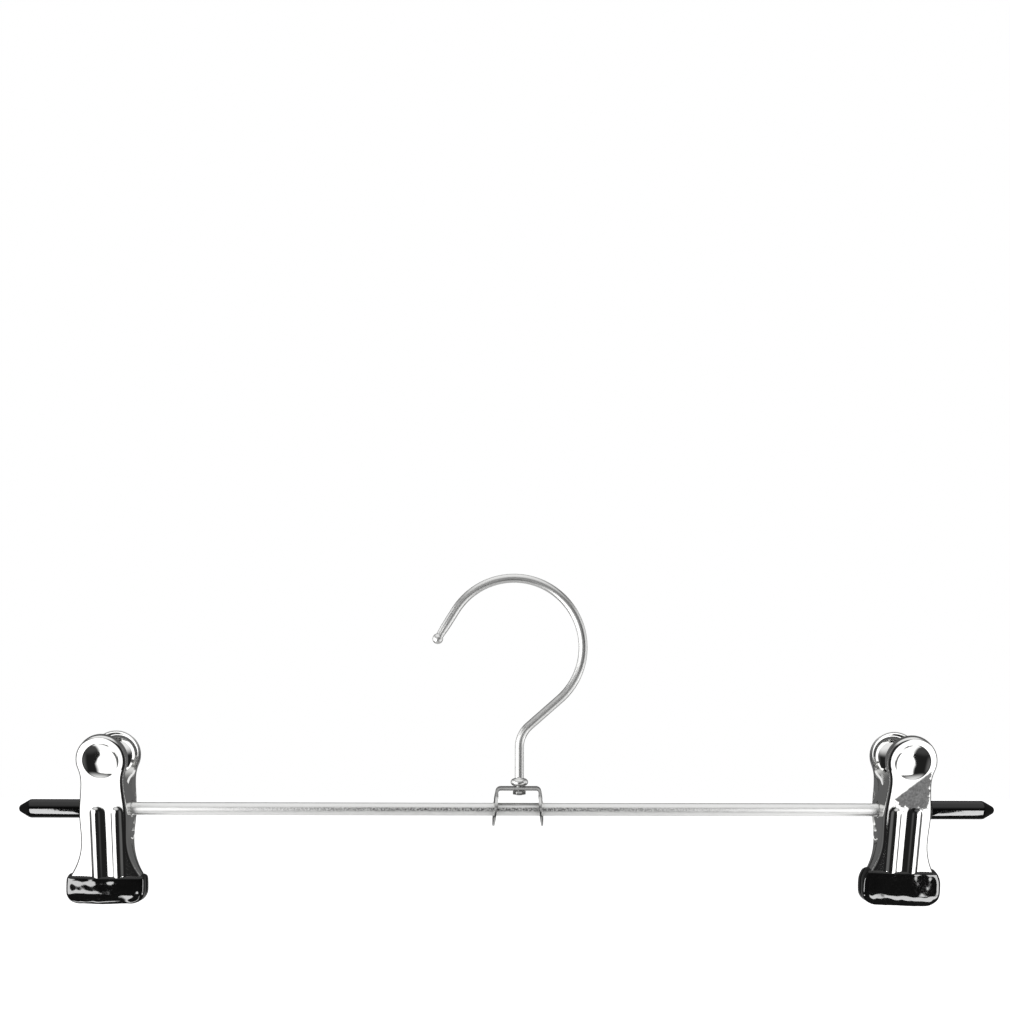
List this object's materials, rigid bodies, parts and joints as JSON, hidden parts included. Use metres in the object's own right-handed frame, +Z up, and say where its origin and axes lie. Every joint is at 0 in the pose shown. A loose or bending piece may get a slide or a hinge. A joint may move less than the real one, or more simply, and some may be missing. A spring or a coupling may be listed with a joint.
{
  "type": "trouser hanger",
  "caption": "Metal trouser hanger: a straight bar with a sliding, vinyl-tipped spring clip near each capped end, hung by a bracket from a wire hook that swivels.",
  "frame": {"origin": "The hook's seat: the inside of its crown, where the wardrobe rail bears.", "axes": "+X along the bar, to the right seen from the front; +Y from the front jaws to the back jaws; +Z up."},
  "size_m": [0.33, 0.028, 0.1122],
  "materials": {
    "hook_steel": "dull zinc-coated wire with fine grey streaks",
    "bracket_steel": "dull zinc-coated strip",
    "bar_zinc": "galvanised, with a darker speckled streak",
    "clip_chrome": "bright plated pressed sheet",
    "spring_steel": "plain spring wire",
    "grip_vinyl": "glossy black dipped vinyl",
    "cap_vinyl": "glossy black vinyl sleeve"
  },
  "bodies": {
    "hook": {"hook_wire": "hook_steel", "hook_ferrule": "hook_steel"},
    "crossbar": {"bracket": "bracket_steel", "bar": "bar_zinc", "left_end_cap": "cap_vinyl", "right_end_cap": "cap_vinyl"},
    "left_front_jaw": {"left_front_plate": "clip_chrome", "left_front_grip": "grip_vinyl"},
    "left_back_jaw": {"left_back_plate": "clip_chrome", "left_back_grip": "grip_vinyl"},
    "left_slider": {"left_spring": "spring_steel"},
    "right_front_jaw": {"right_front_plate": "clip_chrome", "right_front_grip": "grip_vinyl"},
    "right_back_jaw": {"right_back_plate": "clip_chrome", "right_back_grip": "grip_vinyl"},
    "right_slider": {"right_spring": "spring_steel"}
  },
  "joints": [
    {"name": "hook_swivel", "type": "hinge", "parent": "hook", "child": "crossbar", "pos_m": [0.0019, 0, -0.07], "axis": [0, 0, 1], "continuous": true},
    {"name": "left_clip_slide", "type": "slide", "parent": "crossbar", "child": "left_slider", "axis": [1, 0, 0], "range_m": [0, 0.112]},
    {"name": "left_clip_swing", "type": "hinge", "parent": "left_slider", "child": "left_back_jaw", "pos_m": [-0.1372, 0, -0.0767], "axis": [1, 0, 0], "continuous": true, "deforming": ["left_spring"]},
    {"name": "left_jaw_open", "type": "hinge", "parent": "left_back_jaw", "child": "left_front_jaw", "pos_m": [-0.1372, 0, -0.0767], "axis": [-1, 0, 0.0087], "range_deg": [0, 44], "stiffness_Nm_per_rad": 0.2, "springref_deg": -1.72, "deforming": ["left_spring"]},
    {"name": "right_clip_slide", "type": "slide", "parent": "crossbar", "child": "right_slider", "axis": [-1, 0, 0], "range_m": [0, 0.104]},
    {"name": "right_clip_swing", "type": "hinge", "parent": "right_slider", "child": "right_back_jaw", "pos_m": [0.1312, 0, -0.0767], "axis": [1, 0, 0], "continuous": true, "deforming": ["right_spring"]},
    {"name": "right_jaw_open", "type": "hinge", "parent": "right_back_jaw", "child": "right_front_jaw", "pos_m": [0.1312, 0, -0.0767], "axis": [-0.9986, -0.0436, 0.0297], "range_deg": [0, 44], "stiffness_Nm_per_rad": 0.2, "springref_deg": -1.72, "deforming": ["right_spring"]}
  ]
}
